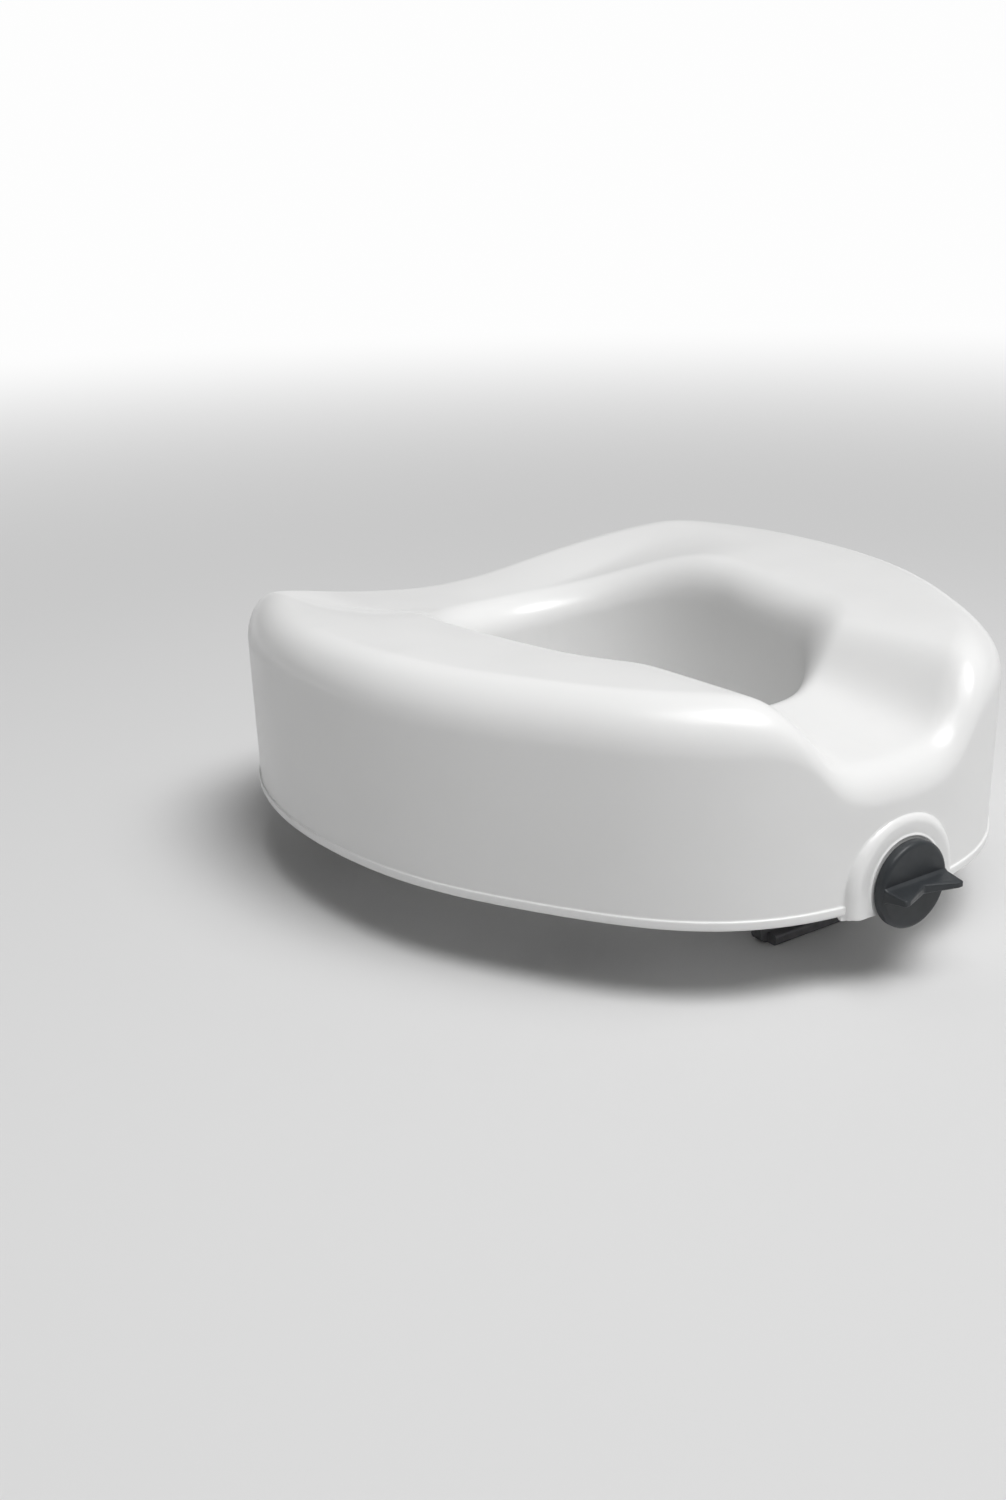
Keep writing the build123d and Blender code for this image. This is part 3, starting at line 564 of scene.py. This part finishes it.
# ------------------------------------------------------------------ materials
def material(name, colour, rough, spec=0.5, coat=0.0, coat_rough=0.1, metallic=0.0, ior=1.5, subsurface=0.0, vary=0.03, scale=60.0,
             fine=900.0, bump=0.05, bump_dist=0.0002, rough_vary=0.06, wear=0.0, wear_colour=None, orange=None, scratches=0.0):
    mat = bpy.data.materials.new(name)
    mat.use_nodes = True
    nt = mat.node_tree
    nd, ln = nt.nodes, nt.links
    bs = nd["Principled BSDF"]
    bs.inputs["Metallic"].default_value = metallic
    bs.inputs["IOR"].default_value = ior
    bs.inputs["Specular IOR Level"].default_value = spec
    bs.inputs["Coat Weight"].default_value = coat
    bs.inputs["Coat Roughness"].default_value = coat_rough
    if subsurface:
        bs.inputs["Subsurface Weight"].default_value = subsurface
        bs.inputs["Subsurface Radius"].default_value = (0.004, 0.004, 0.004)
        bs.inputs["Subsurface Scale"].default_value = 1.0
    tc = nd.new("ShaderNodeTexCoord")

    def noise(scale_, detail=3.0, rough_=0.5):
        t = nd.new("ShaderNodeTexNoise")
        t.inputs["Scale"].default_value = scale_
        t.inputs["Detail"].default_value = detail
        t.inputs["Roughness"].default_value = rough_
        ln.new(tc.outputs["Object"], t.inputs["Vector"])
        return t

    def ramp(src, a, b, ca, cb):
        r = nd.new("ShaderNodeValToRGB")
        r.color_ramp.elements[0].position, r.color_ramp.elements[1].position = a, b
        r.color_ramp.elements[0].color, r.color_ramp.elements[1].color = (*ca, 1), (*cb, 1)
        ln.new(src, r.inputs["Fac"])
        return r

    big = noise(scale, 4.0)
    lo = tuple(max(0.0, c_ * (1 - vary)) for c_ in colour)
    hi = tuple(min(1.0, c_ * (1 + vary)) for c_ in colour)
    base = ramp(big.outputs["Fac"], 0.32, 0.68, lo, hi)
    colour_out = base.outputs["Color"]
    if wear > 0:
        geo = nd.new("ShaderNodeNewGeometry")
        edge = nd.new("ShaderNodeMath")
        edge.operation = "MULTIPLY_ADD"
        edge.inputs[1].default_value, edge.inputs[2].default_value = 9.0, -4.75
        ln.new(geo.outputs["Pointiness"], edge.inputs[0])
        patch = noise(240.0, 3.0)
        mul = nd.new("ShaderNodeMath")
        mul.operation, mul.use_clamp = "MULTIPLY", True
        ln.new(edge.outputs[0], mul.inputs[0])
        ln.new(patch.outputs["Fac"], mul.inputs[1])
        amt = nd.new("ShaderNodeMath")
        amt.operation, amt.use_clamp = "MULTIPLY", True
        amt.inputs[1].default_value = wear
        ln.new(mul.outputs[0], amt.inputs[0])
        mix = nd.new("ShaderNodeMix")
        mix.data_type = "RGBA"
        ln.new(amt.outputs[0], mix.inputs["Factor"])
        ln.new(colour_out, mix.inputs["A"])
        mix.inputs["B"].default_value = (*(wear_colour or hi), 1)
        colour_out = mix.outputs["Result"]
    ln.new(colour_out, bs.inputs["Base Color"])
    rn = noise(scale * 2.7, 5.0, 0.6)
    rr = nd.new("ShaderNodeMapRange")
    rr.inputs["From Min"].default_value, rr.inputs["From Max"].default_value = 0.3, 0.7
    rr.inputs["To Min"].default_value, rr.inputs["To Max"].default_value = max(0.02, rough - rough_vary), min(1.0, rough + rough_vary)
    ln.new(rn.outputs["Fac"], rr.inputs["Value"])
    ln.new(rr.outputs["Result"], bs.inputs["Roughness"])
    b1 = nd.new("ShaderNodeBump")
    b1.inputs["Strength"].default_value, b1.inputs["Distance"].default_value = bump, bump_dist
    grain = noise(fine, 2.0)
    ln.new(grain.outputs["Fac"], b1.inputs["Height"])
    last_n = b1
    if orange:
        b2 = nd.new("ShaderNodeBump")
        b2.inputs["Strength"].default_value, b2.inputs["Distance"].default_value = orange[1], orange[2]
        peel = noise(orange[0], 1.0)
        ln.new(peel.outputs["Fac"], b2.inputs["Height"])
        ln.new(b1.outputs["Normal"], b2.inputs["Normal"])
        last_n = b2
    if scratches > 0:
        mp = nd.new("ShaderNodeMapping")
        mp.inputs["Scale"].default_value = (30, 900, 900)
        mp.inputs["Rotation"].default_value = (0.0, 0.0, 0.5)
        ln.new(tc.outputs["Object"], mp.inputs["Vector"])
        t = nd.new("ShaderNodeTexNoise")
        t.inputs["Scale"].default_value, t.inputs["Detail"].default_value = 1.0, 2.0
        ln.new(mp.outputs["Vector"], t.inputs["Vector"])
        b3 = nd.new("ShaderNodeBump")
        b3.inputs["Strength"].default_value, b3.inputs["Distance"].default_value = scratches, 0.0001
        ln.new(t.outputs["Fac"], b3.inputs["Height"])
        ln.new(last_n.outputs["Normal"], b3.inputs["Normal"])
        last_n = b3
    ln.new(last_n.outputs["Normal"], bs.inputs["Normal"])
    return mat


WHITE = material("white_polyethylene", (0.87, 0.87, 0.865), 0.34, spec=0.45, coat=0.25, coat_rough=0.16, subsurface=0.0, vary=0.012, scale=9.0, fine=1500.0,
                 bump=0.035, bump_dist=0.0002, rough_vary=0.05, orange=(190.0, 0.04, 0.0006))
PLATE = material("white_satin_plastic", (0.74, 0.74, 0.73), 0.45, vary=0.03, scale=40.0, fine=1800.0, bump=0.12, wear=0.5, wear_colour=(0.8, 0.8, 0.8))
DARK = material("dark_knob_plastic", (0.032, 0.036, 0.040), 0.42, spec=0.40, vary=0.10, scale=70.0, fine=2600.0, bump=0.10, bump_dist=0.00012,
                rough_vary=0.07, wear=0.5, wear_colour=(0.10, 0.11, 0.12))
ACETAL = material("natural_acetal", (0.48, 0.48, 0.46), 0.36, vary=0.05, scale=60.0, fine=1500.0, bump=0.08, wear=0.6, wear_colour=(0.62, 0.62, 0.6))
NYLON = material("glass_filled_nylon", (0.11, 0.11, 0.115), 0.52, vary=0.14, scale=120.0, fine=2200.0, bump=0.30, wear=0.5, wear_colour=(0.25, 0.25, 0.26), scratches=0.05)
RUBBER = material("pad_rubber", (0.025, 0.025, 0.026), 0.78, spec=0.3, vary=0.18, scale=160.0, fine=1900.0, bump=0.35, bump_dist=0.0003, wear=0.5, wear_colour=(0.07, 0.07, 0.07))
STEEL = material("zinc_plated_steel", (0.60, 0.60, 0.61), 0.30, metallic=1.0, vary=0.08, scale=220.0, fine=2500.0, bump=0.06, rough_vary=0.10, scratches=0.12)


def paint(ob, mat):
    ob.data.materials.clear()
    ob.data.materials.append(mat)


paint(body, WHITE)
paint(boss, WHITE)
paint(disc, DARK)
paint(wing, DARK)
LOOK = {"front_bushing": ACETAL, "clamp_screw": ACETAL, "thrust_washer_front": STEEL, "thrust_washer_rear": STEEL, "knob_pin": STEEL,
        "retaining_clip": STEEL, "clamp_bracket": NYLON, "rear_hook_left": NYLON, "rear_hook_right": NYLON, "clamp_pad": RUBBER,
        "hook_pad_left": RUBBER, "hook_pad_right": RUBBER, "clamp_rivets": STEEL, "guide_screws": STEEL, "hook_screws": STEEL,
        "guide_plate": PLATE, "vent_plug": PLATE, "rest_pad_front_left": RUBBER, "rest_pad_front_right": RUBBER,
        "rest_pad_rear_left": RUBBER, "rest_pad_rear_right": RUBBER}
for ob in list(bpy.data.objects):
    for node, mat in LOOK.items():
        if ob.type == "MESH" and (ob.name == node or ob.name.startswith(node + ".")):
            for i in range(len(ob.material_slots)):
                ob.material_slots[i].link = "OBJECT"
                ob.material_slots[i].material = mat

# ------------------------------------------------------------------ floor, light, camera
FLOOR_Z = CAD_BOX[0][2] - 0.0002
me = bpy.data.meshes.new("floor")
S = 40.0
me.from_pydata([(-S, -S, FLOOR_Z), (S, -S, FLOOR_Z), (S, S, FLOOR_Z), (-S, S, FLOOR_Z)], [], [(0, 1, 2, 3)])
floor = bpy.data.objects.new("floor", me)
bpy.context.scene.collection.objects.link(floor)
fm = bpy.data.materials.new("studio_floor")
fm.use_nodes = True
nt = fm.node_tree
bs = nt.nodes["Principled BSDF"]
bs.inputs["Base Color"].default_value = (0.72, 0.72, 0.72, 1)
bs.inputs["Roughness"].default_value = 0.7
bs.inputs["Specular IOR Level"].default_value = 0.1
tc = nt.nodes.new("ShaderNodeTexCoord")
ln_ = nt.nodes.new("ShaderNodeVectorMath")
ln_.operation = "LENGTH"
nt.links.new(tc.outputs["Object"], ln_.inputs[0])
mr = nt.nodes.new("ShaderNodeMapRange")
mr.interpolation_type = "SMOOTHSTEP"
mr.inputs["From Min"].default_value, mr.inputs["From Max"].default_value = 0.7, 3.2
nt.links.new(ln_.outputs["Value"], mr.inputs["Value"])
em = nt.nodes.new("ShaderNodeEmission")
em.inputs["Color"].default_value = (0.985, 0.985, 0.985, 1)
mx = nt.nodes.new("ShaderNodeMixShader")
nt.links.new(mr.outputs["Result"], mx.inputs["Fac"])
nt.links.new(bs.outputs["BSDF"], mx.inputs[1])
nt.links.new(em.outputs["Emission"], mx.inputs[2])
# one-sided, so that the underside can be seen through it from below
back_side = nt.nodes.new("ShaderNodeNewGeometry")
clear_below = nt.nodes.new("ShaderNodeBsdfTransparent")
one_sided = nt.nodes.new("ShaderNodeMixShader")
nt.links.new(back_side.outputs["Backfacing"], one_sided.inputs["Fac"])
nt.links.new(mx.outputs["Shader"], one_sided.inputs[1])
nt.links.new(clear_below.outputs["BSDF"], one_sided.inputs[2])
nt.links.new(one_sided.outputs["Shader"], nt.nodes["Material Output"].inputs["Surface"])
me.materials.append(fm)

world = bpy.data.worlds.new("studio")
bpy.context.scene.world = world
world.use_nodes = True
wt = world.node_tree
bg = wt.nodes["Background"]
# room light: brighter from the right, darker from the left
wc = wt.nodes.new("ShaderNodeTexCoord")
sp = wt.nodes.new("ShaderNodeSeparateXYZ")
wt.links.new(wc.outputs["Generated"], sp.inputs[0])
wm = wt.nodes.new("ShaderNodeMapRange")
wm.inputs["From Min"].default_value, wm.inputs["From Max"].default_value = -0.9, 0.9
wm.inputs["To Min"].default_value, wm.inputs["To Max"].default_value = 0.02, 0.36
wt.links.new(sp.outputs["X"], wm.inputs["Value"])
wt.links.new(wm.outputs["Result"], bg.inputs["Strength"])
bg.inputs["Color"].default_value = (1.0, 1.0, 1.0, 1)
bg2 = wt.nodes.new("ShaderNodeBackground")
bg2.inputs["Color"].default_value = (0.985, 0.985, 0.985, 1)
lp = wt.nodes.new("ShaderNodeLightPath")
wx = wt.nodes.new("ShaderNodeMixShader")
wt.links.new(lp.outputs["Is Camera Ray"], wx.inputs["Fac"])
wt.links.new(bg.outputs["Background"], wx.inputs[1])
wt.links.new(bg2.outputs["Background"], wx.inputs[2])
wt.links.new(wx.outputs["Shader"], wt.nodes["World Output"].inputs["Surface"])


def area(name, loc, target, size, power, size_y=None):
    li = bpy.data.lights.new(name, "AREA")
    li.energy = power
    li.size = size
    if size_y:
        li.shape, li.size_y = "RECTANGLE", size_y
    ob = bpy.data.objects.new(name, li)
    ob.location = loc
    ob.rotation_euler = (Vector(target) - Vector(loc)).to_track_quat("-Z", "Y").to_euler()
    bpy.context.scene.collection.objects.link(ob)
    return ob


def sun(name, direction, strength, angle):
    li = bpy.data.lights.new(name, "SUN")
    li.energy, li.angle = strength, math.radians(angle)
    ob = bpy.data.objects.new(name, li)
    ob.rotation_euler = Vector(direction).to_track_quat("Z", "Y").to_euler()
    bpy.context.scene.collection.objects.link(ob)
    return ob


sun("key", (0.08, -0.40, 0.91), 1.46, 30)
area("top_softbox", (-0.05, -0.55, 1.5), (0, 0, 0.08), 1.3, 11.0, 0.7)
area("back_softbox", (0.2, 1.4, 1.2), (0, 0, 0.08), 1.4, 1.2, 0.9)

scene = bpy.context.scene
scene.view_settings.view_transform = "Standard"
AZ, EL, ROLL, F, DIST, UX, UY = math.radians(34.024), math.radians(19.696), math.radians(-1.632), 1705.0, 1069.0, 635.517, 692.766
back = Vector((-math.sin(AZ) * math.cos(EL), -math.cos(AZ) * math.cos(EL), math.sin(EL)))
right = (-back).cross(Vector((0, 0, 1))).normalized()
up = right.cross(-back)
r2 = right * math.cos(ROLL) + up * math.sin(ROLL)
u2 = up * math.cos(ROLL) - right * math.sin(ROLL)
pos = Vector((0, 0, 60.0 + BOTTOM)) + back * DIST - r2 * ((UX - 503) / F * DIST) + u2 * ((UY - 750) / F * DIST)
cam_data = bpy.data.cameras.new("camera")
cam_data.sensor_width = 36.0
cam_data.sensor_fit = "AUTO"
cam_data.lens = F / 1500 * 36.0
cam_data.clip_start, cam_data.clip_end = 0.05, 50
cam = bpy.data.objects.new("camera", cam_data)
mat4 = Matrix(((r2.x, u2.x, back.x, pos.x * MM), (r2.y, u2.y, back.y, pos.y * MM), (r2.z, u2.z, back.z, pos.z * MM), (0, 0, 0, 1)))
cam.matrix_world = mat4
scene.collection.objects.link(cam)
scene.camera = cam
